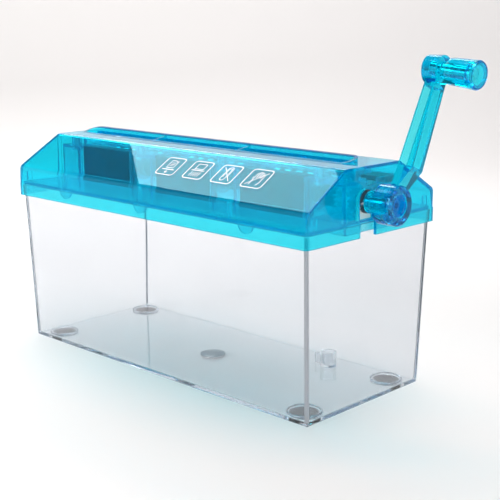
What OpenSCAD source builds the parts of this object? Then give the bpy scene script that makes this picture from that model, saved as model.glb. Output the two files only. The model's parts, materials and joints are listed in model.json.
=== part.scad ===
// Hand-crank desktop paper shredder: a clear bin, a translucent head that lifts off it,
// two meshed cutter shafts in three sections, and a side crank with a turning knob.
// Millimetres, +Z up. The origin is on the standing surface, under the centre of the
// object's overall box. X runs along the bin towards the crank, -Y is the icon side.

/* [Head] */
// Length of the head over its skirt
body_len = 300; // [290:1:320]
// Depth of the head over its skirt
body_depth = 133; // [128:1:140]
// Wall thickness of the cover
cover_wall = 2.2; // [1.8:0.1:2.6]
// Height of the skirt's lower edge
skirt_z = 116.5; // [112:0.5:118]
// Height of the shoulder, where the front wall meets the sloping panel
shoulder_z = 139; // [137:0.5:141]
// Height of the flat top
top_z = 161.5; // [160:0.5:163]
// Depth of the flat top, front to back
top_depth = 55; // [50:1:60]

/* [Paper inlet] */
// Clear width of the throat
throat = 5; // [4.5:0.1:6]
// How far the rear lip rises above the flat top
lip_rise = 3.7; // [2:0.1:5]

/* [Bin] */
// Length of the bin at its base
bin_base_len = 290; // [280:1:290]
// Depth of the bin at its base
bin_base_depth = 118; // [112:1:120]
// Wall thickness of the bin
bin_wall = 2; // [1.6:0.1:2.4]
// Diameter of each rubber foot
foot_d = 17.6; // [14:0.2:18]

/* [Cutters] */
// Distance between the two cutter shafts, which is also gear module times teeth
shaft_gap = 18; // [18:18]
// Diameter of a cutter disc
disc_d = 20; // [19.4:0.1:20.4]
// Number of discs on each shaft in one section
discs_per_section = 6; // [5:6]
// Diameter of both shafts
shaft_d = 8; // [7:0.5:8]

/* [Crank] */
// Distance from the crank's axis to the knob's axis
crank_throw = 87.7; // [75:0.1:92]
// Lean of the crank arm from upright, towards the back
crank_lean = 21.8; // [0:0.1:30]
// Length of the turning knob
knob_len = 25.3; // [22:0.1:30]
// Largest diameter of the knob
knob_d = 18.2; // [16:0.2:22]
// Rake of the knob's pin, towards the crank's axis
knob_rake = 5.3; // [0:0.1:8]

/* [Hidden] */
$fn = 48;

// Fits
run_gap = 0.05;
free_gap = 0.4;
bite = 0.5;

// Plan of the body, measured from the middle of the bin
half_len = body_len / 2;
half_depth = body_depth / 2;
corner_r = 3.5;
ledge_z = 126;
ledge_step = 0.5;
end_lean = 1.6;
shoulder_half = half_depth - 2;
top_half = top_depth / 2;
deck_z = 124.8;
deck_t = 2.2;
bin_rim_z = 124.5;
bin_base_z = 1;
bin_floor_t = 2.5;
bin_rim_len = body_len - 2 * cover_wall - 2 * free_gap - 0.2;
bin_rim_depth = body_depth - 2 * cover_wall - 2 * free_gap - 0.6;

// Feet
foot_x = 128.5;
foot_y = 43;
foot_h = 2;
foot_ring_d = 22.5;
foot_ring_z = 0.6;

// Shaft axes
axis_z = 139;
front_y = -7;
rear_y = front_y + shaft_gap;
nip_y = (front_y + rear_y) / 2;
shaft_r = shaft_d / 2;
bush_r = 5.5;

// Cutter sections along X
section_pitch = 87;
disc_t = 4.9;
disc_pitch = 2 * disc_t + 0.4;
section_len = discs_per_section * disc_pitch;
mid_section_x = -5;
section_starts = [for (i = [-1:1]) mid_section_x + i * section_pitch - section_len / 2];
spacer_r = 6.5;
web_t = 2.5;
web_clear = 1;

// Chassis well around the cutters
well_half = 25.5;
well_wall = 2.5;
well_front = nip_y - well_half;
well_rear = nip_y + well_half;
well_bottom_z = 119;
well_top_z = 152;
window_z = 128;
left_web_x = section_starts[0] - web_clear - web_t;
last_web_x = section_starts[2] + section_len + web_clear;
outer_plate_x = 141.8;
post_left_x = -144;
post_right_x = outer_plate_x;

// Cover bosses and their screws
boss_xs = [-133, -54.5, 32.6, 121];
boss_front_y = -20;
boss_rear_y = 2 * nip_y - boss_front_y;
boss_r = 4;
screw_r = 1.5;

// Paper inlet
inlet_x0 = -139;
inlet_x1 = 131;
inlet_front = -9;
inlet_rear = nip_y + throat / 2 + 0.5;
lip_t = 2;
throat_front = inlet_rear - throat;
throat_z = 149.5;
inlet_rib_xs = [-55, 34];
inlet_rib_t = 1.4;

// Gears
gear_module = 1;
gear_teeth = shaft_gap / gear_module;
gear_x0 = 128.5;
gear_w = 9.5;
gear_guard_x = 127;
pressure_angle = 20;

// Crank
hub_r = 12.9;
hub_back_x = 160;
hub_front_x = 174;
neck_x = half_len + 0.4;
neck_r = 7.4;
hub_floor_x = 168;
hub_floor_t = 2.5;
arm_w = 11.6;
arm_back = [166.6, 173.3];
arm_front = [179.2, 180.4];
arm_pocket = [25, 76];
arm_skin = 2.2;
knob_boss_r = 9.3;
knob_boss_x = [170, 180.5];
knob_gap = 0.7;
knob_y = front_y + crank_throw * sin(crank_lean);
knob_z = axis_z + crank_throw * cos(crank_lean);
pin_r = 3;
knob_cap_r = 7.6;
knob_end_r = knob_d / 2 - 0.6;
knob_tip_x = knob_boss_x[1] + (knob_gap + knob_len) * cos(knob_rake) + knob_end_r * sin(knob_rake);

// The crank reaches past the bin on one side only, so the overall box's centre is off the bin's
bin_x = (half_len - knob_tip_x) / 2;

// Helpers
module placed() {
    translate([bin_x, 0, 0]) children();
}

module block(low, high) {
    translate(low) cube(high - low);
}

module rounded_rect(low, high, r) {
    translate(low + [r, r]) offset(r = r) square(high - low - [2 * r, 2 * r]);
}

module rounded_block(low, high, r) {
    translate([0, 0, low[2]])
        linear_extrude(high[2] - low[2])
            rounded_rect([low[0], low[1]], [high[0], high[1]], r);
}

module along_x(x0, x1) {
    translate([x0, 0, 0]) rotate([90, 0, 90]) linear_extrude(x1 - x0) children();
}

module rod(x0, x1, r, y, z) {
    translate([x0, y, z]) rotate([0, 90, 0]) cylinder(h = x1 - x0, r = r);
}

module ring(x0, x1, outer_r, inner_r, y, z) {
    difference() {
        rod(x0, x1, outer_r, y, z);
        rod(x0 - 1, x1 + 1, inner_r, y, z);
    }
}

// Corner posts of a drafted box: radius r, half sizes at the base and at the rim
module drafted_box(base_half, rim_half, z0, z1, r) {
    hull() {
        for (sx = [-1, 1], sy = [-1, 1]) {
            translate([sx * (base_half[0] - r), sy * (base_half[1] - r), z0 + r]) sphere(r, $fn = 32);
            translate([sx * (rim_half[0] - r), sy * (rim_half[1] - r), z1 - 1])
                cylinder(h = 1, r = r, $fn = 32);
        }
    }
}

// ---- Bin ----

module bin_shell() {
    difference() {
        drafted_box([bin_base_len / 2, bin_base_depth / 2],
                    [bin_rim_len / 2, bin_rim_depth / 2], bin_base_z, bin_rim_z, 1.5);
        drafted_box([bin_base_len / 2 - bin_wall, bin_base_depth / 2 - bin_wall],
                    [bin_rim_len / 2 - bin_wall, bin_rim_depth / 2 - bin_wall],
                    bin_base_z + bin_floor_t, bin_rim_z + 1, 1);
    }
}

module at_feet() {
    for (sx = [-1, 1], sy = [-1, 1]) translate([sx * foot_x, sy * foot_y, 0]) children();
}

module bin() {
    stub_x = 80;
    stub_y = 38;
    placed() color([0.92, 0.94, 0.96, 0.45]) {
        difference() {
            union() {
                bin_shell();
                at_feet() translate([0, 0, foot_ring_z]) cylinder(h = 1.2, d = foot_ring_d);
                at_feet() translate([0, 0, bin_base_z + bin_floor_t - bite])
                    cylinder(h = bite + 0.6, d = foot_ring_d);
                translate([stub_x, stub_y, bin_base_z + bin_floor_t - bite]) cylinder(h = 11, d = 12);
                block([stub_x - 12, stub_y - 1, bin_base_z + bin_floor_t - bite],
                      [stub_x, stub_y + 1, bin_base_z + 10]);
            }
            at_feet() translate([0, 0, -1]) cylinder(h = 1 + foot_h + 0.1, d = foot_d + 2 * free_gap);
            translate([stub_x, stub_y, bin_base_z + bin_floor_t + 1]) cylinder(h = 12, d = 8);
            difference() {
                translate([0, 0, bin_base_z - 1]) cylinder(h = 1.8, d = 18);
                translate([0, 0, bin_base_z + 0.2]) cylinder(h = 2, d = 5);
            }
        }
    }
}

module bin_feet() {
    placed() color([0.3, 0.31, 0.33]) at_feet() {
        cylinder(h = foot_h, d = foot_d);
    }
}

// ---- Head cover ----

module cover_profile(inset, z0) {
    slope = atan2(top_z - shoulder_z, shoulder_half - top_half);
    edge = inset * tan(45 - slope / 2);
    crown = inset * tan(slope / 2);
    half = [
        [half_depth - inset, z0],
        [half_depth - inset, ledge_z],
        [half_depth - ledge_step - inset, ledge_z],
        [shoulder_half - inset, shoulder_z - edge],
        [top_half - crown, top_z - inset]
    ];
    back = [for (i = [len(half) - 1:-1:0]) [-half[i][0], half[i][1]]];
    soften = 4;
    offset(r = soften) offset(delta = -soften) polygon(concat(half, back));
    translate([0, (z0 + ledge_z) / 2]) square([2 * (half_depth - inset), ledge_z - z0], center = true);
}

module cover_outer() {
    intersection() {
        along_x(-half_len, half_len) cover_profile(0, skirt_z);
        union() {
            rounded_block([-half_len, -half_depth, skirt_z], [half_len, half_depth, ledge_z], corner_r);
            intersection() {
                rounded_block([-half_len + ledge_step, -half_depth, ledge_z - bite],
                              [half_len - ledge_step, half_depth, top_z + 1], corner_r);
                end_taper(0);
            }
        }
    }
}

// The end walls lean in a little above the ledge
module end_taper(inset) {
    low = half_len - ledge_step - inset;
    high = low - end_lean;
    rotate([90, 0, 0]) linear_extrude(2 * half_depth, center = true)
        polygon([[-low, ledge_z - bite], [low, ledge_z - bite], [low, ledge_z],
                 [high, top_z + 1], [-high, top_z + 1], [-low, ledge_z]]);
}

module cover_cavity() {
    intersection() {
        along_x(-half_len, half_len) cover_profile(cover_wall, skirt_z - 1);
        union() {
            rounded_block([-half_len + cover_wall, -half_depth + cover_wall, skirt_z - 1],
                          [half_len - cover_wall, half_depth - cover_wall, ledge_z], corner_r - 2);
            intersection() {
                rounded_block([-half_len + cover_wall, -half_depth + cover_wall, ledge_z - bite],
                              [half_len - cover_wall, half_depth - cover_wall, top_z], corner_r - 2);
                end_taper(cover_wall);
            }
        }
    }
}

// The inlet's rim: its top slopes up from the front edge to the rear lip
module inlet_rim_solid() {
    rear = inlet_rear + lip_t;
    front = inlet_front - lip_t;
    intersection() {
        rounded_block([inlet_x0 - lip_t, front, throat_z], [inlet_x1 + lip_t, rear, top_z + 10], 7);
        along_x(inlet_x0 - 10, inlet_x1 + 10)
            polygon([[front, throat_z], [rear, throat_z], [rear, top_z + lip_rise], [front, top_z]]);
    }
}

module inlet_hollow() {
    ramp_drop = top_z - 3;
    intersection() {
        rounded_block([inlet_x0, inlet_front, throat_z - 5], [inlet_x1, inlet_rear, top_z + 20], 5);
        along_x(inlet_x0 - 1, inlet_x1 + 1)
            polygon([[throat_front, throat_z - 5], [inlet_rear, throat_z - 5],
                     [inlet_rear, top_z + 12], [inlet_front, top_z + 12],
                     [inlet_front, ramp_drop], [throat_front, throat_z + 3]]);
    }
}

// Room in front of the ramp, so that the rim stays a wall and not a block
module inlet_relief() {
    wall = lip_t;
    along_x(inlet_x0 + wall, inlet_x1 - wall)
        polygon([[inlet_front - lip_t - 1, throat_z - 1], [throat_front - wall, throat_z - 1],
                 [throat_front - wall, throat_z + 2], [inlet_front - lip_t - 1, top_z - cover_wall - 1.5]]);
}

module inlet_ribs() {
    for (x = inlet_rib_xs)
        along_x(x - inlet_rib_t / 2, x + inlet_rib_t / 2)
            polygon([[inlet_front - bite, top_z - 5], [throat_front - 1, throat_z + 5],
                     [inlet_rear + bite, throat_z + 5], [inlet_rear + bite, top_z + lip_rise - 1.2],
                     [inlet_front - bite, top_z - 0.2]]);
}

module crank_slot() {
    slot_r = 8.1;
    x0 = half_len - 10;
    rod(x0, half_len + 5, slot_r, front_y, axis_z);
    block([x0, front_y - slot_r, skirt_z - 5], [half_len + 5, front_y + slot_r, axis_z]);
}

module cover_bosses() {
    for (x = boss_xs, y = [boss_front_y, boss_rear_y])
        translate([x, y, well_top_z]) difference() {
            cylinder(h = top_z - cover_wall - well_top_z + bite, r = boss_r);
            translate([0, 0, -1]) cylinder(h = 8, r = screw_r + run_gap);
        }
}

module cover_ribs() {
    inner_x = half_len - ledge_step - cover_wall;
    inner_y = half_depth - ledge_step - cover_wall;
    rib_z0 = deck_z + deck_t + 0.3;
    for (x = [-92, -7, 81], s = [-1, 1])
        block([x - 1.6, min(s * (inner_y + bite), s * (inner_y - 3)), rib_z0],
              [x + 1.6, max(s * (inner_y + bite), s * (inner_y - 3)), shoulder_z - 1.5]);
    for (sx = [-1, 1], sy = [-1, 1]) {
        block([min(sx * (inner_x + bite), sx * (inner_x - 2)), min(sy * 28 - 1.6, sy * 28 + 1.6), rib_z0],
              [max(sx * (inner_x + bite), sx * (inner_x - 2)), max(sy * 28 - 1.6, sy * 28 + 1.6), top_z - 3.5]);
        block([min(sx * (inner_x + bite), sx * (inner_x - 2)), sy * 57 - 2, rib_z0],
              [max(sx * (inner_x + bite), sx * (inner_x - 2)), sy * 57 + 2, ledge_z + 8.5]);
    }
}

module head_cover() {
    placed() color([0.1, 0.75, 0.95, 0.6]) difference() {
        union() {
            difference() {
                cover_outer();
                cover_cavity();
            }
            difference() {
                inlet_rim_solid();
                inlet_relief();
            }
            cover_bosses();
            cover_ribs();
        }
        inlet_hollow_cut();
        crank_slot();
    }
}

// The hollow is cut around the two ribs
module inlet_hollow_cut() {
    difference() {
        inlet_hollow();
        inlet_ribs();
    }
}

// ---- Head chassis ----

module chassis_web(x) {
    notch_half = throat / 2 + lip_t + 1.5;
    along_x(x, x + web_t) difference() {
        translate([well_front - bite, well_bottom_z])
            square([well_rear - well_front + 2 * bite, well_top_z - well_bottom_z]);
        translate([nip_y + 0.5 - notch_half, throat_z - 1.5]) square([2 * notch_half, 20]);
    }
}

module shaft_bores(x0, x1, r) {
    for (y = [front_y, rear_y]) rod(x0, x1, r, y, axis_z);
}

// The caps between two webs, where the cover's bosses stand
module post_cap(x0, x1, rear_x1) {
    depth = 12;
    block([x0, well_front, well_top_z - 2.5], [x1, well_front + depth, well_top_z]);
    block([x0, well_rear - depth, well_top_z - 2.5], [rear_x1, well_rear, well_top_z]);
}

module well_walls() {
    for (y = [well_front - well_wall, well_rear])
        difference() {
            block([post_left_x, y, well_bottom_z], [post_right_x + web_t, y + well_wall, well_top_z]);
            for (s = section_starts)
                block([s, y - 1, window_z], [s + section_len, y + well_wall + 1, well_top_z + 1]);
        }
}

module deck() {
    edge_x = half_len - ledge_step - cover_wall - free_gap;
    edge_y = half_depth - ledge_step - cover_wall - free_gap;
    difference() {
        rounded_block([-edge_x, -edge_y, deck_z], [edge_x, edge_y, deck_z + deck_t], 3);
        block([left_web_x + web_t, well_front, deck_z - 1], [last_web_x, well_rear, deck_z + deck_t + 1]);
    }
}

module locating_tabs() {
    tab_y = bin_rim_depth / 2 - bin_wall - 1.2;
    tab_r = 6.5;
    tab_t = 2;
    for (x = [-94.5, -8.5, 94.5], s = [-1, 1])
        translate([x, s * (tab_y - tab_t / 2), deck_z + bite]) intersection() {
            rotate([90, 0, 0]) cylinder(h = tab_t, r = tab_r, center = true);
            block([-tab_r, -tab_t, -tab_r], [tab_r, tab_t, 0]);
        }
}

module head_chassis() {
    placed() color([0.3, 0.8, 0.95, 0.7]) difference() {
        union() {
            well_walls();
            deck();
            locating_tabs();
            chassis_web(left_web_x);
            for (i = [0:2]) chassis_web(section_starts[i] + section_len + web_clear);
            for (i = [1:2]) chassis_web(section_starts[i] - web_clear - web_t);
            chassis_web(outer_plate_x);
            post_cap(post_left_x, left_web_x + bite, left_web_x + bite);
            for (i = [0:1])
                post_cap(section_starts[i] + section_len + web_clear, section_starts[i + 1] - web_clear,
                         section_starts[i + 1] - web_clear);
            post_cap(last_web_x, outer_plate_x + bite, gear_guard_x);
        }
        shaft_bores(left_web_x - 1, left_web_x + web_t + 1, bush_r + run_gap);
        shaft_bores(outer_plate_x - 1, outer_plate_x + web_t + 1, bush_r + run_gap);
        shaft_bores(left_web_x + web_t + 1, last_web_x + web_t + 1, shaft_r + free_gap);
        for (x = boss_xs, y = [boss_front_y, boss_rear_y])
            translate([x, y, well_top_z - 5]) cylinder(h = 10, r = screw_r + 0.3);
    }
}

module cover_screws() {
    placed() color([0.7, 0.7, 0.72])
        for (x = boss_xs, y = [boss_front_y, boss_rear_y])
            translate([x, y, well_top_z - 2.5]) {
                translate([0, 0, -2]) difference() {
                    cylinder(h = 2, r = 3);
                    translate([-0.5, -2, -1]) cube([1, 4, 1.8]);
                    translate([-2, -0.5, -1]) cube([4, 1, 1.8]);
                }
                translate([0, 0, -bite]) cylinder(h = 8.5, r = screw_r);
            }
}

// A dark guard plate for each section, with a finger in each gap between discs.
// side is -1 for the front shaft's plates and 1 for the rear shaft's.
module strippers(side) {
    shaft_y = side < 0 ? front_y : rear_y;
    plate_y = shaft_y + side * (disc_d / 2 + 2.5);
    finger_y = shaft_y + side * (spacer_r + 0.5);
    hood_y = shaft_y + side * 3.5;
    shift = side < 0 ? disc_t + 0.3 : 0.1 + disc_pitch;
    plate_t = 1.6;
    count = discs_per_section - 2;
    for (s = section_starts) {
        block([s - web_clear, min(plate_y, plate_y + side * plate_t), window_z - 1],
              [s + section_len + web_clear, max(plate_y, plate_y + side * plate_t), well_top_z - 0.5]);
        block([s + 0.2, min(hood_y, plate_y + side * bite), well_top_z - 2],
              [s + section_len - 0.2, max(hood_y, plate_y + side * bite), well_top_z - 0.5]);
        for (i = [0:count])
            block([s + shift + 0.4 + i * disc_pitch, min(finger_y, plate_y + side * bite), axis_z - 3],
                  [s + shift + disc_t - 0.1 + i * disc_pitch, max(finger_y, plate_y + side * bite), axis_z + 3]);
    }
}

// The black block over the gears, cut away below to clear the rear gear's teeth
module gear_guard() {
    placed() color([0.06, 0.06, 0.07]) along_x(gear_guard_x + 0.1, outer_plate_x)
        polygon([[12, 149.9], [17.5, 149.9], [17.5, 147.6], [well_rear, 147.6],
                 [well_rear, well_top_z], [12, well_top_z]]);
}

module front_strippers() {
    placed() color([0.16, 0.17, 0.19]) strippers(-1);
}

module rear_strippers() {
    placed() color([0.16, 0.17, 0.19]) strippers(1);
}

// A sleeve from x0 to x1 with a flange against the plate's outer face
module bush(x0, x1, flange_x0, flange_x1, y) {
    difference() {
        union() {
            rod(x0, x1, bush_r, y, axis_z);
            rod(flange_x0, flange_x1, bush_r + 1.4, y, axis_z);
        }
        rod(x0 - 1, x1 + 1, shaft_r + run_gap, y, axis_z);
    }
}

module left_bushes() {
    placed() color([0.9, 0.9, 0.88]) for (y = [front_y, rear_y])
        bush(left_web_x - 1.3, left_web_x + web_t, left_web_x - 1.3, left_web_x, y);
}

module driven_bush() {
    plate_face = outer_plate_x + web_t;
    placed() color([0.9, 0.9, 0.88])
        bush(outer_plate_x, plate_face + 1, plate_face, plate_face + 1, rear_y);
}

// The crank side's bush has a tongue below its flange that keeps it from turning
module drive_bush() {
    face_x = outer_plate_x + web_t;
    placed() color([0.86, 0.85, 0.86]) difference() {
        union() {
            rod(outer_plate_x, face_x + 0.3, bush_r, front_y, axis_z);
            rod(face_x, face_x + 1.2, 7.6, front_y, axis_z);
            block([face_x, front_y - 7.6, deck_z + deck_t + 0.3], [face_x + 1.2, front_y + 7.6, axis_z]);
        }
        rod(outer_plate_x - 1, face_x + 3, shaft_r + run_gap, front_y, axis_z);
    }
}

// ---- Shafts, discs, spacers, gears ----

module drive_shaft() {
    end_x = hub_floor_x - 0.4;
    flat = 3;
    placed() color([0.72, 0.73, 0.75]) difference() {
        rod(left_web_x - 6, end_x, shaft_r, front_y, axis_z);
        block([neck_x + 1, front_y - 10, axis_z + flat], [end_x + 1, front_y + 10, axis_z + 10]);
        rod(end_x - 12, end_x + 1, 2 + run_gap, front_y, axis_z);
    }
}

module driven_shaft() {
    placed() color([0.72, 0.73, 0.75])
        rod(left_web_x - 6, outer_plate_x + web_t + 1.4, shaft_r, rear_y, axis_z);
}

module discs(shift, y) {
    for (s = section_starts, i = [0:discs_per_section - 1]) {
        x = s + shift + i * disc_pitch;
        ring(x, x + disc_t, disc_d / 2, shaft_r + run_gap, y, axis_z);
    }
}

// Spacers fill the gaps between the discs, and between the end disc and its web
module spacers(shift, y, end_shift, end_len) {
    gap = disc_pitch - disc_t;
    for (s = section_starts) {
        for (i = [0:discs_per_section - 2]) {
            x = s + shift + disc_t + i * disc_pitch;
            ring(x + 0.05, x + gap - 0.05, spacer_r, shaft_r + run_gap, y, axis_z);
        }
        ring(s + end_shift, s + end_shift + end_len, spacer_r, shaft_r + run_gap, y, axis_z);
    }
    for (i = [0:1])
        ring(section_starts[i] + section_len + web_clear + web_t + 0.2,
             section_starts[i + 1] - web_clear - web_t - 0.2, spacer_r, shaft_r + run_gap, y, axis_z);
    ring(last_web_x + web_t + 0.2, gear_x0 - 0.05, spacer_r, shaft_r + run_gap, y, axis_z);
}

front_shift = 0.1;
rear_shift = front_shift + disc_pitch / 2;
end_spacer = disc_pitch / 2 + web_clear - 0.4;

module front_discs() {
    placed() color([0.35, 0.36, 0.38]) discs(front_shift, front_y);
}

module rear_discs() {
    placed() color([0.35, 0.36, 0.38]) discs(rear_shift, rear_y);
}

module front_spacers() {
    placed() color([0.2, 0.2, 0.22])
        spacers(front_shift, front_y, section_len - disc_pitch / 2 + 0.2, end_spacer);
}

module rear_spacers() {
    placed() color([0.2, 0.2, 0.22])
        spacers(rear_shift, rear_y, -web_clear + 0.2, end_spacer - 0.1);
}

// Involute gear outline, with a tooth centred on the +X axis of its own plane
function involute_angle(base_r, r) = let (a = acos(base_r / r)) tan(a) * 180 / PI - a;

module gear_outline(teeth) {
    pitch_r = gear_module * teeth / 2;
    base_r = pitch_r * cos(pressure_angle);
    tip_r = pitch_r + gear_module;
    root_r = pitch_r - 1.2 * gear_module;
    backlash = 0.12;
    half_tooth = 90 / teeth - backlash / pitch_r * 180 / PI + involute_angle(base_r, pitch_r);
    steps = 4;
    flank = [for (i = [0:steps]) base_r + 0.01 + (tip_r - base_r - 0.01) * i / steps];
    function at(r, a) = [r * cos(a), r * sin(a)];
    polygon([for (t = [0:teeth - 1]) let (c = t * 360 / teeth)
        each concat([at(root_r, c - half_tooth)],
                    [for (r = flank) at(r, c - half_tooth + involute_angle(base_r, r))],
                    [for (i = [steps:-1:0]) at(flank[i], c + half_tooth - involute_angle(base_r, flank[i]))],
                    [at(root_r, c + half_tooth)])]);
}

module gear(y, turn) {
    difference() {
        translate([gear_x0, y, axis_z]) rotate([90, 0, 90])
            linear_extrude(gear_w) rotate(turn) gear_outline(gear_teeth);
        rod(gear_x0 - 1, gear_x0 + gear_w + 1, shaft_r + run_gap, y, axis_z);
    }
}

module drive_gear() {
    placed() color([0.55, 0.85, 0.92]) gear(front_y, 0);
}

module driven_gear() {
    placed() color([0.55, 0.85, 0.92]) gear(rear_y, 180 / gear_teeth);
}

// A C-shaped retaining ring with its mouth turned down and back
module clip(x0, y, outer_r, mouth_angle) {
    difference() {
        ring(x0, x0 + 1, outer_r, shaft_r + run_gap, y, axis_z);
        translate([0, y, axis_z]) rotate([mouth_angle, 0, 0])
            block([x0 - 1, 0, -1.6], [x0 + 2, outer_r + 1, 1.6]);
    }
}

module drive_clips() {
    placed() color([0.05, 0.05, 0.06]) {
        clip(left_web_x - 3, front_y, 6.5, 40);
        clip(outer_plate_x + web_t + 3.4, front_y, 7.6, 200);
    }
}

module driven_clips() {
    placed() color([0.05, 0.05, 0.06]) {
        clip(left_web_x - 3, rear_y, 6.5, 40);
        clip(gear_x0 + gear_w + 0.6, rear_y, 6.5, 130);
    }
}

module hub_washer() {
    placed() color([0.75, 0.76, 0.78])
        ring(outer_plate_x + web_t + 1.5, outer_plate_x + web_t + 3.1, 6.4, shaft_r + run_gap,
             front_y, axis_z);
}

// ---- Crank and knob ----

// Places its children so that +X is outwards, +Z runs along the arm and Y is across it
module on_arm() {
    translate([0, front_y, axis_z]) rotate([-crank_lean, 0, 0]) children();
}

module hub_turning() {
    translate([0, front_y, axis_z]) rotate([0, 90, 0]) rotate_extrude()
        polygon([[0, neck_x], [neck_r - 1, neck_x], [neck_r, neck_x + 1], [neck_r, hub_back_x - 5],
                 [hub_r - 3, hub_back_x - 1.5], [hub_r - 0.8, hub_back_x], [hub_r, hub_back_x + 1.5],
                 [hub_r, hub_front_x - 0.8], [hub_r - 0.8, hub_front_x], [0, hub_front_x]]);
}

// X of the arm's back or front face at a distance r from the crank's axis
function arm_x(range, r) = range[0] + (range[1] - range[0]) * r / crank_throw;

// The arm's front face slopes back to the hub's face over its last stretch
module arm_bar() {
    rotate([90, 0, 0]) linear_extrude(arm_w, center = true)
        polygon([[arm_x(arm_back, 0), 0], [hub_front_x - 1, 0], [hub_front_x - 1, hub_r - 1],
                 [arm_x(arm_front, arm_pocket[0]), arm_pocket[0] - 1],
                 [arm_x(arm_front, crank_throw), crank_throw], [arm_x(arm_back, crank_throw), crank_throw]]);
}

// The arm is a channel that opens towards the bin
module arm_channel() {
    low = arm_pocket[0];
    high = arm_pocket[1];
    rotate([90, 0, 0]) linear_extrude(arm_w - 2 * arm_skin, center = true)
        polygon([[arm_x(arm_back, low) - 5, low], [arm_x(arm_front, low) - arm_skin, low],
                 [arm_x(arm_front, high) - arm_skin, high], [arm_x(arm_back, high) - 5, high]]);
}

// Places its children on the knob's raked axis, with x = 0 at the boss's front face
module on_knob() {
    translate([knob_boss_x[1], front_y, axis_z]) rotate([-crank_lean, 0, 0])
        translate([0, 0, crank_throw]) rotate([0, knob_rake, 0]) children();
}

module crank_arm() {
    boss_len = knob_boss_x[1] - knob_boss_x[0];
    placed() color([0.1, 0.55, 0.9, 0.8]) difference() {
        union() {
            hub_turning();
            on_arm() arm_bar();
            rod(knob_boss_x[0], knob_boss_x[1], knob_boss_r, knob_y, knob_z);
        }
        on_arm() arm_channel();
        rod(hub_floor_x + hub_floor_t, hub_front_x + 10, 7.2, front_y, axis_z);
        rod(hub_floor_x - 1, hub_front_x + 1, 2.3, front_y, axis_z);
        difference() {
            rod(neck_x - 1, hub_floor_x, shaft_r + run_gap, front_y, axis_z);
            block([neck_x + 1.2, front_y - 10, axis_z + 3 + run_gap], [hub_floor_x + 1, front_y + 10, axis_z + 10]);
        }
        on_knob() rod(3 - boss_len, 1, pin_r + run_gap, 0, 0);
    }
}

module crank_screw() {
    head_x = hub_floor_x + hub_floor_t + 0.1;
    placed() color([0.2, 0.7, 0.95, 0.8]) difference() {
        union() {
            rod(head_x, head_x + 2.7, 7, front_y, axis_z);
            rod(hub_floor_x - 10, head_x + bite, 2, front_y, axis_z);
        }
        rod(head_x + 1.1, head_x + 5, 4.8, front_y, axis_z);
        for (a = [20, 110])
            translate([head_x + 1.5, front_y, axis_z]) rotate([a, 0, 0])
                block([0, -8, -0.7], [3, 8, 0.7]);
    }
}

module knob_pin() {
    tip = knob_gap + knob_len - 5;
    placed() color([0.75, 0.76, 0.78]) on_knob() {
        rod(3.2 + knob_boss_x[0] - knob_boss_x[1], tip, pin_r, 0, 0);
        rod(tip - bite, tip + 1, 4.6, 0, 0);
    }
}

module knob_grip() {
    shoulder_r = knob_d / 2 - 0.6;
    placed() color([0.1, 0.62, 0.92, 0.8])
        on_knob() translate([knob_gap, 0, 0]) rotate([0, 90, 0]) rotate_extrude()
            difference() {
                polygon([[0, 0], [5.6, 0], [5.9, 1.2], [shoulder_r - 1.6, 3.6], [shoulder_r - 0.3, 5],
                         [shoulder_r, 6.6], [knob_d / 2, knob_len - 1], [knob_end_r, knob_len],
                         [0, knob_len]]);
                square([pin_r + run_gap, knob_len + 1]);
                translate([0, knob_len - 6.1]) square([6, 10]);
                translate([0, knob_len - 2]) square([knob_cap_r + run_gap, 10]);
            }
}

module knob_cap() {
    placed() color([0.35, 0.85, 0.97, 0.8])
        on_knob() rod(knob_gap + knob_len - 1.9, knob_gap + knob_len - 0.5, knob_cap_r, 0, 0);
}

bin();
bin_feet();
head_cover();
head_chassis();
cover_screws();
front_strippers();
rear_strippers();
gear_guard();
left_bushes();
drive_bush();
driven_bush();
drive_shaft();
front_discs();
front_spacers();
drive_gear();
drive_clips();
hub_washer();
crank_arm();
crank_screw();
knob_pin();
knob_grip();
knob_cap();
driven_shaft();
rear_discs();
rear_spacers();
driven_gear();
driven_clips();
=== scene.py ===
import bpy, bmesh, json, math
from mathutils import Matrix, Vector


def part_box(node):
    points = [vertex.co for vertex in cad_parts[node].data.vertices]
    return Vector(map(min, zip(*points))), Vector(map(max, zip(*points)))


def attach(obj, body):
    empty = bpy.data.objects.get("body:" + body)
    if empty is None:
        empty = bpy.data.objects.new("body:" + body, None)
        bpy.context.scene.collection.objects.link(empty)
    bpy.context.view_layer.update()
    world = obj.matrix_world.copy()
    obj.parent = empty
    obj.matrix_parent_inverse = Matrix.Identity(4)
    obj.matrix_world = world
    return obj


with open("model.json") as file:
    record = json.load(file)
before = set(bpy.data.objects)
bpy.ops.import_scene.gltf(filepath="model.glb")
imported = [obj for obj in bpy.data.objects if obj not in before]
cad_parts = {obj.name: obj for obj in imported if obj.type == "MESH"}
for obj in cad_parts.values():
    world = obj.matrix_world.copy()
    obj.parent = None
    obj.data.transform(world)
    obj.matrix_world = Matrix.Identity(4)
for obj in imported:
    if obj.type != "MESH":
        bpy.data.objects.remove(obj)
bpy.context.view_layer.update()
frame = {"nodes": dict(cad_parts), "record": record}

scene = bpy.context.scene

# The bin's middle along the frame's x. part.scad measures from there, in millimetres.
bin_lo, bin_hi = (Vector(c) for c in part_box("bin"))
BIN_X = (bin_lo.x + bin_hi.x) / 2
X_AXIS = Vector((1, 0, 0))
Z_AXIS = Vector((0, 0, 1))

# The cover's sloping panel, from its lower front edge to the flat top (x is left at 0)
PANEL_FOOT, PANEL_TOP = Vector((0, -0.0645, 0.139)), Vector((0, -0.0275, 0.1615))
UP_SLOPE = (PANEL_TOP - PANEL_FOOT).normalized()
PANEL_N = X_AXIS.cross(UP_SLOPE)


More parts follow.
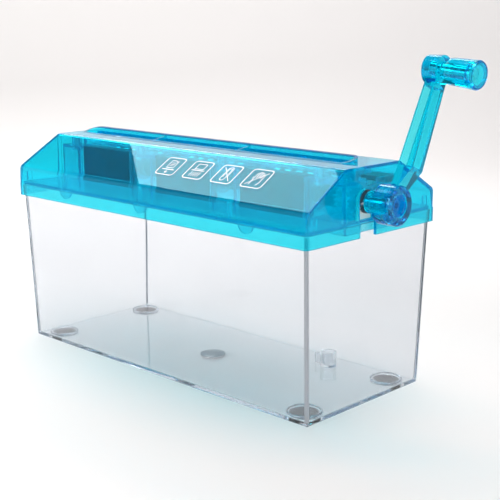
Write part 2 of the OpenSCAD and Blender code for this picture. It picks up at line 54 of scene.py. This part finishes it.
def at_mm(x, y, z):
    """A point of part.scad, in the frame's metres."""
    return Vector((BIN_X + x / 1000, y / 1000, z / 1000))


def on_panel(u, v):
    """A point on the panel's plane: u along it from the bin's middle and v up it, in millimetres."""
    return PANEL_FOOT + UP_SLOPE * (v / 1000) + Vector((BIN_X + u / 1000, 0, 0))


def to_object(name, bm, finish):
    """Make an object of bm, with its normals facing out."""
    me = bpy.data.meshes.new(name)
    bmesh.ops.recalc_face_normals(bm, faces=bm.faces)
    bm.to_mesh(me)
    bm.free()
    me.materials.append(finish)
    o = bpy.data.objects.new(name, me)
    scene.collection.objects.link(o)
    return o


# ---------------------------------------------------------------- node helpers
def material(name):
    m = bpy.data.materials.new(name)
    m.use_nodes = True
    nt = m.node_tree
    nt.nodes.clear()
    return m, nt, nt.nodes.new("ShaderNodeOutputMaterial")


def node(nt, kind, sockets=(), **props):
    """A shader node, with the given sockets and properties set."""
    n = nt.nodes.new("ShaderNode" + kind)
    for key, value in props.items():
        setattr(n, key, value)
    for key, value in dict(sockets).items():
        n.inputs[key].default_value = value
    return n


def noise(nt, scale, detail, rough=0.55, stretch=(1, 1, 1)):
    coords = node(nt, "TexCoord")
    scaled = node(nt, "Mapping", {"Scale": stretch})
    n = node(nt, "TexNoise", {"Scale": scale, "Detail": detail, "Roughness": rough})
    nt.links.new(coords.outputs["Object"], scaled.inputs["Vector"])
    nt.links.new(scaled.outputs["Vector"], n.inputs["Vector"])
    return n.outputs["Fac"]


def ramp(nt, fac, lo, hi, a=0.3, b=0.7):
    """Colour lo up to a, colour hi from b on, and a blend between them."""
    r = node(nt, "ValToRGB")
    for stop, at, colour in zip(r.color_ramp.elements, (a, b), (lo, hi)):
        stop.position, stop.color = at, (*colour, 1)
    nt.links.new(fac, r.inputs["Fac"])
    return r.outputs["Color"]


def span(nt, fac, lo, hi, a=0.3, b=0.7):
    """The same for a number."""
    r = node(nt, "MapRange", {"From Min": a, "From Max": b, "To Min": lo, "To Max": hi})
    nt.links.new(fac, r.inputs["Value"])
    return r.outputs["Result"]


def bump(nt, height, distance):
    b = node(nt, "Bump", {"Distance": distance, "Strength": 1.0})
    nt.links.new(height, b.inputs["Height"])
    return b.outputs["Normal"]


def over(nt, colour, fac, top):
    """The constant colour top laid over colour by fac."""
    mix = node(nt, "MixRGB", {"Color2": (*top, 1)})
    nt.links.new(fac, mix.inputs["Fac"])
    nt.links.new(colour, mix.inputs["Color1"])
    return mix.outputs["Color"]


def mixed(nt, fac, first, second):
    """Two shaders mixed by fac, a number or a socket."""
    mix = node(nt, "MixShader")
    if isinstance(fac, float):
        mix.inputs["Fac"].default_value = fac
    else:
        nt.links.new(fac, mix.inputs["Fac"])
    nt.links.new(first.outputs[0], mix.inputs[1])
    nt.links.new(second.outputs[0], mix.inputs[2])
    return mix


def dim(colour, share):
    return tuple(c * share for c in colour)


PLASTIC_IOR, OPAQUE_IOR = 1.49, 1.46
CLOUD, SMEAR, RIPPLE = 24, 140, 55  # scales of the plastics' unevenness in colour, gloss and form
SQUARE_ON = (0.90, 0.97)    # cosines between which a face counts more and more as polished
WORN_EDGE = (0.52, 0.60)    # pointiness between which an edge wears bright


def clear_plastic(name, tint, dye, density, see, body, rough, lamp, sheen, waves=0.00002,
                  glow=0.5, lip=None, polished=None):
    """Moulded see-through plastic. Each face tints what passes, and the dye takes off more the
    further light goes through it: dye is what 1/density metres leave. The share `see` is clear,
    and the rest is coloured scatter for the pigment, of which the share glow shines through.
    Lamps reach what is behind it unbent, in the colour lamp. Ripples are `waves` metres deep.
    lip is (z0, z1, colour): painted shade, the tint turns to that dark colour from height z0 to z1,
    in metres, for a dark edge along a lip.
    polished is (normal, see): faces across that normal are clearer."""
    m, nt, out = material(name)
    link = nt.links.new
    coords = node(nt, "TexCoord")
    cloud = noise(nt, CLOUD, 4)

    glass = node(nt, "BsdfPrincipled", {
        "IOR": PLASTIC_IOR, "Transmission Weight": 1.0, "Specular Tint": (*sheen, 1)})
    colour = ramp(nt, cloud, dim(tint, 0.985), tint)
    # Painted shade: a dark colour over a band of heights, for a dark edge along a lip.
    if lip:
        z0, z1, deep = lip
        xyz = node(nt, "SeparateXYZ")
        link(coords.outputs["Object"], xyz.inputs[0])
        colour = over(nt, colour, span(nt, xyz.outputs["Z"], 0, 1, z0, z1), deep)
    link(colour, glass.inputs["Base Color"])
    link(span(nt, noise(nt, SMEAR, 3), rough * 0.6, rough * 1.4), glass.inputs["Roughness"])
    link(bump(nt, noise(nt, RIPPLE, 2), waves), glass.inputs["Normal"])

    lit, shone = node(nt, "BsdfDiffuse"), node(nt, "BsdfTranslucent")
    pigment = ramp(nt, cloud, dim(body, 0.93), body)
    link(pigment, lit.inputs["Color"])
    link(pigment, shone.inputs["Color"])

    clear = see
    if polished:
        dot = node(nt, "VectorMath", {1: polished[0]}, operation="DOT_PRODUCT")
        link(coords.outputs["Normal"], dot.inputs[0])
        facing = node(nt, "Math", operation="ABSOLUTE")
        link(dot.outputs["Value"], facing.inputs[0])
        clear = span(nt, facing.outputs[0], see, polished[1], *SQUARE_ON)
    seen = mixed(nt, clear, mixed(nt, glow, lit, shone), glass)

    path = node(nt, "LightPath")
    unbent = node(nt, "Math", operation="MAXIMUM")
    link(path.outputs["Is Shadow Ray"], unbent.inputs[0])
    link(path.outputs["Is Diffuse Ray"], unbent.inputs[1])
    film = node(nt, "BsdfTransparent", {"Color": (*lamp, 1)})
    link(mixed(nt, unbent.outputs[0], seen, film).outputs[0], out.inputs["Surface"])
    inside = node(nt, "VolumeAbsorption", {"Color": (*dye, 1), "Density": density})
    link(inside.outputs[0], out.inputs["Volume"])
    return m


def blue_plastic(name, **look):
    """The head's and the crank's tinted plastic."""
    return clear_plastic(name, dye=(0.45, 0.966, 0.99), lamp=(0.90, 0.905, 0.91),
                         sheen=(0.35, 0.95, 1.0), **look)


def bin_plastic(name, **look):
    """The bin's almost colourless plastic."""
    return clear_plastic(name, dye=(0.988, 0.991, 0.994), density=300,
                         lamp=(0.975, 0.977, 0.98), sheen=(0.7, 0.72, 0.76), **look)


def solid(name, lo, hi, rough, metallic=0.0, scale=60, grain=0.00004, stretch=(1, 1, 1),
          wear=None, spec=0.5):
    """An opaque finish: two-tone mottling, uneven roughness, a fine grain (its depth in metres),
    and edges worn to the colour wear."""
    m, nt, out = material(name)
    link = nt.links.new
    b = node(nt, "BsdfPrincipled", {
        "Metallic": metallic, "IOR": OPAQUE_IOR, "Specular IOR Level": spec})
    colour = ramp(nt, noise(nt, scale, 4, 0.6, stretch), lo, hi)
    if wear:
        geo = node(nt, "NewGeometry")
        edges = span(nt, geo.outputs["Pointiness"], 0.0, 1.0, *WORN_EDGE)
        colour = over(nt, colour, edges, wear)
    link(colour, b.inputs["Base Color"])
    patches = noise(nt, scale * 2.5, 3, 0.5, stretch)
    link(span(nt, patches, rough * 0.75, rough * 1.3), b.inputs["Roughness"])
    link(bump(nt, noise(nt, scale * 8, 3, 0.5, stretch), grain), b.inputs["Normal"])
    link(b.outputs[0], out.inputs["Surface"])
    return m


# ---------------------------------------------------------------- materials
# Painted shade: the cover's colour turns dark navy just above z 163.8 mm, along the top of the
# inlet's rear lip, for the dark line the lip shows there.
BLUE = {
    "cover_plastic": dict(
        tint=(0.16, 0.965, 1.0), density=800, see=0.85, body=(0.0, 0.70, 1.0), rough=0.02,
        lip=(0.1638, 0.1642, (0.0, 0.05, 0.30)), polished=(PANEL_N, 0.955)),
    "chassis_plastic": dict(
        tint=(0.45, 0.985, 1.0), density=1000, see=0.82, body=(0.0, 0.68, 1.0), rough=0.05,
        glow=0.6),
    "crank_plastic": dict(
        tint=(0.40, 0.98, 1.0), density=1000, see=0.95, body=(0.0, 0.66, 1.0), rough=0.02),
    "cap_plastic": dict(
        tint=(0.55, 0.99, 1.0), density=1000, see=0.8, body=(0.06, 0.88, 1.0), rough=0.03),
    "gear_plastic": dict(
        tint=(0.75, 0.98, 1.0), density=300, see=0.45, body=(0.40, 0.88, 0.98), rough=0.15),
    "plug_plastic": dict(
        tint=(0.10, 0.75, 0.98), density=1500, see=0.7, body=(0.0, 0.30, 0.85), rough=0.03),
}
SOLID = {
    "guard_plastic": dict(lo=(0.012, 0.03, 0.085), hi=(0.03, 0.065, 0.16), rough=0.38, scale=40),
    "spacer_plastic": dict(lo=(0.02, 0.022, 0.03), hi=(0.04, 0.045, 0.055), rough=0.45),
    "bush_plastic": dict(lo=(0.74, 0.74, 0.71), hi=(0.83, 0.83, 0.80), rough=0.4),
    "block_plastic": dict(lo=(0.007, 0.008, 0.010), hi=(0.018, 0.019, 0.022), rough=0.42,
                          scale=70),
    "foot_rubber": dict(lo=(0.012, 0.010, 0.010), hi=(0.035, 0.031, 0.030), rough=0.75,
                        scale=90, grain=0.00008, spec=0.3),
    "shaft_steel": dict(lo=(0.52, 0.53, 0.55), hi=(0.68, 0.69, 0.71), rough=0.22, metallic=1.0,
                        scale=30, grain=0.000012, stretch=(1, 12, 12)),
    "cutter_steel": dict(lo=(0.30, 0.31, 0.33), hi=(0.46, 0.47, 0.49), rough=0.3, metallic=1.0,
                         scale=45, grain=0.00002, stretch=(6, 1, 1), wear=(0.75, 0.76, 0.78)),
    "screw_steel": dict(lo=(0.55, 0.56, 0.58), hi=(0.74, 0.75, 0.77), rough=0.26, metallic=1.0,
                        scale=120, grain=0.00001, wear=(0.9, 0.9, 0.92)),
    "clip_steel": dict(lo=(0.006, 0.006, 0.008), hi=(0.02, 0.02, 0.024), rough=0.32,
                       metallic=0.4, scale=90, grain=0.00001, wear=(0.08, 0.08, 0.09)),
}
BIN = bin_plastic("clear_bin", tint=(0.875, 0.89, 0.91), see=0.995, body=(0.85, 0.88, 0.92),
                  rough=0.012, waves=0.00001)
SATIN = bin_plastic("bin_edge", tint=(0.90, 0.91, 0.93), see=0.45, body=(0.80, 0.83, 0.88),
                    rough=0.03)
ICON = solid("icon_ink", (0.86, 0.90, 0.93), (0.95, 0.97, 0.98), 0.5, scale=300, grain=0.00001)

PAINT = {"clear_bin": BIN}
PAINT.update((slot, blue_plastic(slot, **look)) for slot, look in BLUE.items())
PAINT.update((slot, solid(slot, **look)) for slot, look in SOLID.items())
SLOT_OF = {s["node"]: s["material_slot"] for s in frame["record"]["subparts"]}
for name, obj in frame["nodes"].items():
    for s in obj.material_slots:
        s.material = PAINT[SLOT_OF[name]]


# ---------------------------------------------------------------- panel icons
# Everything is in millimetres on the panel, about the icon's middle.
ICON_HALF, ICON_CORNER = 9, 2.6
FIRST_ICON, ICON_STEP, ICON_UP = 5.3, 27.6, 23.8
ICON_PROUD = 0.00004  # metres above the panel


def stroke(bm, pts, width, closed=False):
    """A flat ribbon along pts, mitred at the corners."""
    pts = [Vector(p) for p in pts]
    n = len(pts)
    rows = []
    for i, p in enumerate(pts):
        before = p - pts[i - 1 if closed else max(i - 1, 0)]
        after = pts[(i + 1) % n if closed else min(i + 1, n - 1)] - p
        into = (before if before.length else after).normalized()
        away = (after if after.length else before).normalized()
        along = (into + away).normalized()
        mitre = 1 / max(0.5, along.dot(away))
        side = Vector((-along.y, along.x)) * (width / 2) * mitre
        rows.append([bm.verts.new((*(p + side), 0)), bm.verts.new((*(p - side), 0))])
    for i in range(n if closed else n - 1):
        a, c = rows[i], rows[(i + 1) % n]
        bm.faces.new((a[0], a[1], c[1], c[0]))


def arc(cx, cy, r, start, end, steps):
    turns = (math.radians(start + (end - start) * i / steps) for i in range(steps + 1))
    return [(cx + r * math.cos(t), cy + r * math.sin(t)) for t in turns]


def rounded_square(half, r):
    q = half - r
    corners = ((q, q, 0), (-q, q, 90), (-q, -q, 180), (q, -q, 270))
    return [p for cx, cy, start in corners for p in arc(cx, cy, r, start, start + 90, 6)]


def strip(x):
    return [(x, -2), (x + 0.5, -3.5), (x - 0.4, -5), (x + 0.2, -6.6)]


def finger(x, top):
    return [(x, 0.5), (x, top)] + arc(x + 0.8, top, 0.8, 180, 0, 6) + [(x + 1.6, 0.5)]


# Generic signs, each a list of (points, width) or (points, width, closed)
SHEET_GOES_IN = [
    ([(-3.4, 6), (-3.4, -1.5), (3.4, -1.5), (3.4, 6)], 0.6),
    ([(-3.4, 6), (1.4, 6), (3.4, 4)], 0.6),
    *(([(-2, y), (2, y)], 0.5) for y in (3.6, 2, 0.5)),
    ([(-6, -3.4), (6, -3.4)], 0.8),
    ([(0, -4.6), (0, -7)], 0.6),
    ([(-1.3, -5.8), (0, -7.1), (1.3, -5.8)], 0.6),
]
SHEET_IN_STRIPS = [
    ([(-4, 6.2), (4, 6.2), (4, 1), (-4, 1)], 0.6, True),
    ([(-6.2, -0.4), (6.2, -0.4)], 0.8),
    *((strip(-4 + 2 * i), 0.52) for i in range(5)),
]
NO_PAPER_CLIPS = [
    ([(-1.6, -3)] + arc(-0.2, 4.2, 1.4, 180, 0, 8) + [(1.2, -4.2)]
     + arc(-0.7, -4.4, 1.9, 0, -180, 8) + [(-2.6, 4.4)]
     + arc(-0.2, 4.6, 2.4, 180, 0, 8) + [(2.2, -3)], 0.6),
    ([(-6.3, 6.3), (6.3, -6.3)], 0.6),
]
KEEP_FINGERS_OUT = [
    ([(-3, -6.4), (-3, -1), (-4.4, 1.2)], 0.6),
    *((finger(-3 + 1.9 * i, top), 0.52) for i, top in enumerate((4.6, 5.8, 5.2, 3.6))),
    ([(4.4, 0.6), (4.4, -4), (3, -6.4)], 0.6),
    ([(-6.3, -6.3), (6.3, 6.3)], 0.6),
]

for k, lines in enumerate((SHEET_GOES_IN, SHEET_IN_STRIPS, NO_PAPER_CLIPS, KEEP_FINGERS_OUT)):
    bm = bmesh.new()
    stroke(bm, rounded_square(ICON_HALF, ICON_CORNER), 0.8, True)
    for line in lines:
        stroke(bm, *line)
    turned = Matrix((X_AXIS, UP_SLOPE, PANEL_N)).transposed().to_4x4()
    centre = on_panel(FIRST_ICON + ICON_STEP * k, ICON_UP) + PANEL_N * ICON_PROUD
    bmesh.ops.scale(bm, vec=(0.001, 0.001, 0.001), verts=bm.verts)
    bmesh.ops.transform(bm, matrix=Matrix.Translation(centre) @ turned, verts=bm.verts)
    icon = to_object(f"panel_icon_{k}", bm, ICON)
    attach(icon, "head")


# ---------------------------------------------------------------- the bin's moulded detail
# Millimetres. Heights are from the table the object stands on.
CORNERS = [(sx, sy) for sx in (-1, 1) for sy in (-1, 1)]
FLOOR_Z = 3.5                               # the bin floor's upper face
DOME_R, DOME_H, DOME_STEPS = 9.5, 1.1, 10   # the gate mark in the middle of the floor
FOOT_X, FOOT_Y = 128.5, 43                  # the feet, and the round pads above them
RIM_R, RIM_HALF = 10.5, 0.75                # the raised rim on each pad, and half its width
RIM_FOOT, RIM_SIDE, RIM_H = 0.4, 0.7, 0.7   # from the floor: its foot, its side, its round top
LATHE_STEPS = 64
FILLET_R, FILLET_TOP, FILLET_ROWS = 1.1, 124, 8
FILLET_X, FILLET_Y = 143.02, 57.02          # the corner where the inner walls meet, at the floor
DRAFT_X, DRAFT_Y = 2.3, 4.6                 # how far the corner moves out on its way to the top


def bin_piece(name, bm, finish):
    bmesh.ops.remove_doubles(bm, verts=bm.verts, dist=1e-7)
    o = to_object(name, bm, finish)
    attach(o, "bin")


def lathe(bm, loop, x, y):
    """Turn a closed outline of (radius, height) about an upright axis at x, y."""
    turns = [2 * math.pi * i / LATHE_STEPS for i in range(LATHE_STEPS)]
    rings = [[bm.verts.new(at_mm(x + r * math.cos(t), y + r * math.sin(t), z)) for r, z in loop]
             for t in turns]
    for i in range(LATHE_STEPS):
        a, c = rings[i], rings[(i + 1) % LATHE_STEPS]
        for j, (r, z) in enumerate(loop):
            k = (j + 1) % len(loop)
            next_r, next_z = loop[k]
            if r or next_r:
                face = bm.faces.new((a[j], a[k], c[k], c[j]))
                face.smooth = z > FLOOR_Z and next_z > FLOOR_Z


bm = bmesh.new()
inward = [1 - i / DOME_STEPS for i in range(DOME_STEPS + 1)]
lathe(bm, [(DOME_R * s, FLOOR_Z + 0.1 + DOME_H * (1 - s ** 2)) for s in inward]
      + [(0, FLOOR_Z - 0.02), (DOME_R, FLOOR_Z - 0.02)], 0, 0)
bin_piece("gate_dome", bm, SATIN)

bm = bmesh.new()
half_turn = [math.radians(a) for a in range(0, 181, 15)]
for sx, sy in CORNERS:
    lathe(bm, [(RIM_R + RIM_HALF * math.cos(t), FLOOR_Z + RIM_SIDE + RIM_H * math.sin(t))
               for t in half_turn]
          + [(RIM_R - RIM_HALF, FLOOR_Z + RIM_FOOT), (RIM_R + RIM_HALF, FLOOR_Z + RIM_FOOT)],
          sx * FOOT_X, sy * FOOT_Y)
bin_piece("pad_rims", bm, BIN)

# Fillets up the four upright corners inside the bin, following the walls' draft
bm = bmesh.new()
quarter_turn = [math.radians(a) for a in range(0, 91, 10)]
for sx, sy in CORNERS:
    rows = []
    for f in range(FILLET_ROWS + 1):
        u = f / FILLET_ROWS
        cx, cy = FILLET_X + DRAFT_X * u, FILLET_Y + DRAFT_Y * u
        z = FLOOR_Z - 0.2 + (FILLET_TOP - FLOOR_Z) * u
        pts = [(cx, cy)] + [(cx - FILLET_R + FILLET_R * math.cos(t),
                             cy - FILLET_R + FILLET_R * math.sin(t)) for t in quarter_turn]
        rows.append([bm.verts.new(at_mm(sx * x, sy * y, z)) for x, y in pts])
    n = len(rows[0])
    for low, high in zip(rows, rows[1:]):
        for i in range(n):
            k = (i + 1) % n
            face = bm.faces.new((low[i], low[k], high[k], high[i]))
            face.smooth = 0 < i < n - 1
    bm.faces.new(rows[0])
    bm.faces.new(rows[-1])
bin_piece("corner_fillets", bm, SATIN)


# ---------------------------------------------------------------- floor and backdrop
# Metres. The floor runs from SWEEP_NEAR to SWEEP_BEND along SWEEP_BACK, away from the camera.
SWEEP_BACK, SWEEP_SIDE = Vector((-0.696, 0.718, 0)), Vector((0.718, 0.696, 0))
SWEEP_NEAR, SWEEP_BEND, BEND_R, WALL_TOP, SWEEP_HALF = -3.0, 1.0, 1.2, 1.7, 5
# The paper's painted light and shade: its colour at the lit left and at the shaded right.
PAPER_LIT, PAPER_SHADED = (0.93, 0.915, 0.91), (0.80, 0.785, 0.785)


def studio_paper():
    """Matt paper with painted shade: its colour darkens to the right, where the light on the
    background falls off.
    """
    m, nt, out = material("studio_paper")
    b = node(nt, "BsdfPrincipled", {"Roughness": 0.7, "Specular IOR Level": 0.25})
    coords = node(nt, "TexCoord")
    # Painted shade: the paper's colour runs from lit at the left to shaded at the right.
    rightward = node(nt, "VectorMath", {1: SWEEP_SIDE}, operation="DOT_PRODUCT")
    nt.links.new(coords.outputs["Object"], rightward.inputs[0])
    wash = node(nt, "Math", {1: 0.02}, operation="MULTIPLY_ADD")
    nt.links.new(noise(nt, 1.2, 2), wash.inputs[0])
    nt.links.new(span(nt, rightward.outputs["Value"], 0, 1, -0.6, 0.5), wash.inputs[2])
    colour = ramp(nt, wash.outputs[0], PAPER_LIT, PAPER_SHADED, 0, 1)
    nt.links.new(colour, b.inputs["Base Color"])
    nt.links.new(b.outputs[0], out.inputs["Surface"])
    return m


# A seamless sweep: floor, a wide curve, and a wall behind
bend = [math.radians(a) for a in range(6, 91, 6)]
profile = [(SWEEP_NEAR, 0), (SWEEP_BEND, 0)]
profile += [(SWEEP_BEND + BEND_R * math.sin(t), BEND_R - BEND_R * math.cos(t)) for t in bend]
profile += [(SWEEP_BEND + BEND_R, WALL_TOP)]
bm = bmesh.new()
rows = [[bm.verts.new(SWEEP_BACK * d + SWEEP_SIDE * s + Z_AXIS * z)
         for s in (-SWEEP_HALF, SWEEP_HALF)] for d, z in profile]
for a, c in zip(rows, rows[1:]):
    bm.faces.new((a[0], a[1], c[1], c[0])).smooth = True
to_object("studio_sweep", bm, studio_paper())

# ---------------------------------------------------------------- light
# The sky's brightness by height: 0 is straight down, 0.5 the horizon and 1 straight up.
# It is bright just above the horizon and dark overhead.
SKY_DOWN, SKY_UP = (0.5, 0.5, 0.505, 1), (0.12, 0.118, 0.117, 1)
SKY = ((0.49, 0.5), (0.51, 0.95), (0.62, 0.75), (0.74, 0.10))
world = bpy.data.worlds.new("studio")
scene.world = world
world.use_nodes = True
nt = world.node_tree
background = nt.nodes["Background"]
background.inputs["Strength"].default_value = 1.0
coords = node(nt, "TexCoord")
xyz = node(nt, "SeparateXYZ")
nt.links.new(coords.outputs["Generated"], xyz.inputs[0])
sky = node(nt, "ValToRGB")
stops = sky.color_ramp.elements
stops[0].position, stops[0].color = 0.0, SKY_DOWN
stops[1].position, stops[1].color = 1.0, SKY_UP
for at, v in SKY:
    stops.new(at).color = (v, v * 0.985, v * 0.98, 1)
nt.links.new(span(nt, xyz.outputs["Z"], 0, 1, -1, 1), sky.inputs["Fac"])
nt.links.new(sky.outputs["Color"], background.inputs["Color"])


def area(name, loc, normal, x_axis, sx, sy, radiance, color=(1, 1, 1)):
    """A rectangular softbox facing along normal, with its width along x_axis."""
    d = bpy.data.lights.new(name, "AREA")
    d.shape = "RECTANGLE"
    d.size, d.size_y, d.color = sx, sy, color
    d.energy = radiance * sx * sy * math.pi
    o = bpy.data.objects.new(name, d)
    scene.collection.objects.link(o)
    z = -Vector(normal).normalized()
    x = (Vector(x_axis) - z * Vector(x_axis).dot(z)).normalized()
    turned = Matrix((x, z.cross(x), z)).transposed().to_4x4()
    o.matrix_world = Matrix.Translation(Vector(loc)) @ turned


# The softbox that the sloping panel mirrors. Its near edge runs between two panel points, as
# the edge of the reflection does in the photograph, which is found by mirroring the camera.
CAMERA_AT = at_mm(552.31, -530.05, 255.92)
SOFTBOX_AWAY, SOFTBOX_W, SOFTBOX_H = 0.9, 0.30, 0.9


def mirrored(u, v):
    """The point that the camera sees mirrored in the panel at u along it and v up it (mm)."""
    p = on_panel(u, v)
    d = (p - CAMERA_AT).normalized()
    return p + (d - 2 * d.dot(PANEL_N) * PANEL_N) * SOFTBOX_AWAY


edge_top, edge_foot = mirrored(-43, 36), mirrored(-6, 0)
edge_dir = (edge_foot - edge_top).normalized()
across = mirrored(140, 22) - mirrored(-28, 18)
facing = (at_mm(30, -45, 150) - mirrored(50, 22)).normalized()
x_dir = (across - edge_dir * across.dot(edge_dir)).normalized()
middle = (edge_top + edge_foot) / 2 + x_dir * SOFTBOX_W / 2
area("softbox", middle, facing, x_dir, SOFTBOX_W, SOFTBOX_H, 2.6)

WARM = (1.0, 0.985, 0.975)
area("front", (-0.3, -1.7, 0.92), (0.2, 1, -0.45), (1, 0, 0), 1.3, 0.7, 5.0, WARM)
area("right", (1.7, -0.7, 0.7), (-0.9, 0.4, -0.3), (0.4, 0.9, 0), 0.9, 0.8, 6.0, WARM)
area("above", (0.4, 0.2, 1.8), (-0.15, 0, -1), (1, 0, 0), 1.6, 1.6, 1.8, WARM)
area("backdrop", (-0.6, 0.6, 2.4), (-0.6, 0.65, -0.9), (0.7, 0.7, 0), 1.6, 0.8, 5.9, WARM)
area("edge", (-0.88, 0.62, 0.87), (0.68, -0.5, -0.53), (1, 0, 0), 1.2, 0.2, 6.5, WARM)

# ---------------------------------------------------------------- camera
CAMERA_DIR = Vector((-0.6788861, 0.70053451, -0.2199206))
CAMERA_ROLL = math.radians(-0.217)
cam_data = bpy.data.cameras.new("camera")
cam_data.sensor_width = 36
cam_data.lens = 76.08
cam_data.clip_start, cam_data.clip_end = 0.01, 30
cam = bpy.data.objects.new("camera", cam_data)
scene.collection.objects.link(cam)
scene.camera = cam
forward = CAMERA_DIR.normalized()
level = forward.cross(Z_AXIS).normalized()
upward = level.cross(forward)
cam_x = level * math.cos(CAMERA_ROLL) + upward * math.sin(CAMERA_ROLL)
cam_y = upward * math.cos(CAMERA_ROLL) - level * math.sin(CAMERA_ROLL)
turned = Matrix((cam_x, cam_y, -forward)).transposed().to_4x4()
cam.matrix_world = Matrix.Translation(CAMERA_AT) @ turned

scene.view_settings.view_transform = "Standard"
scene.view_settings.look = "None"
# Light crosses many thin walls of clear plastic, and runs along inside the bin's walls.
scene.cycles.transparent_max_bounces = 64
scene.cycles.max_bounces = 100
scene.cycles.transmission_bounces = 96
scene.cycles.glossy_bounces = 64
scene.cycles.diffuse_bounces = 4
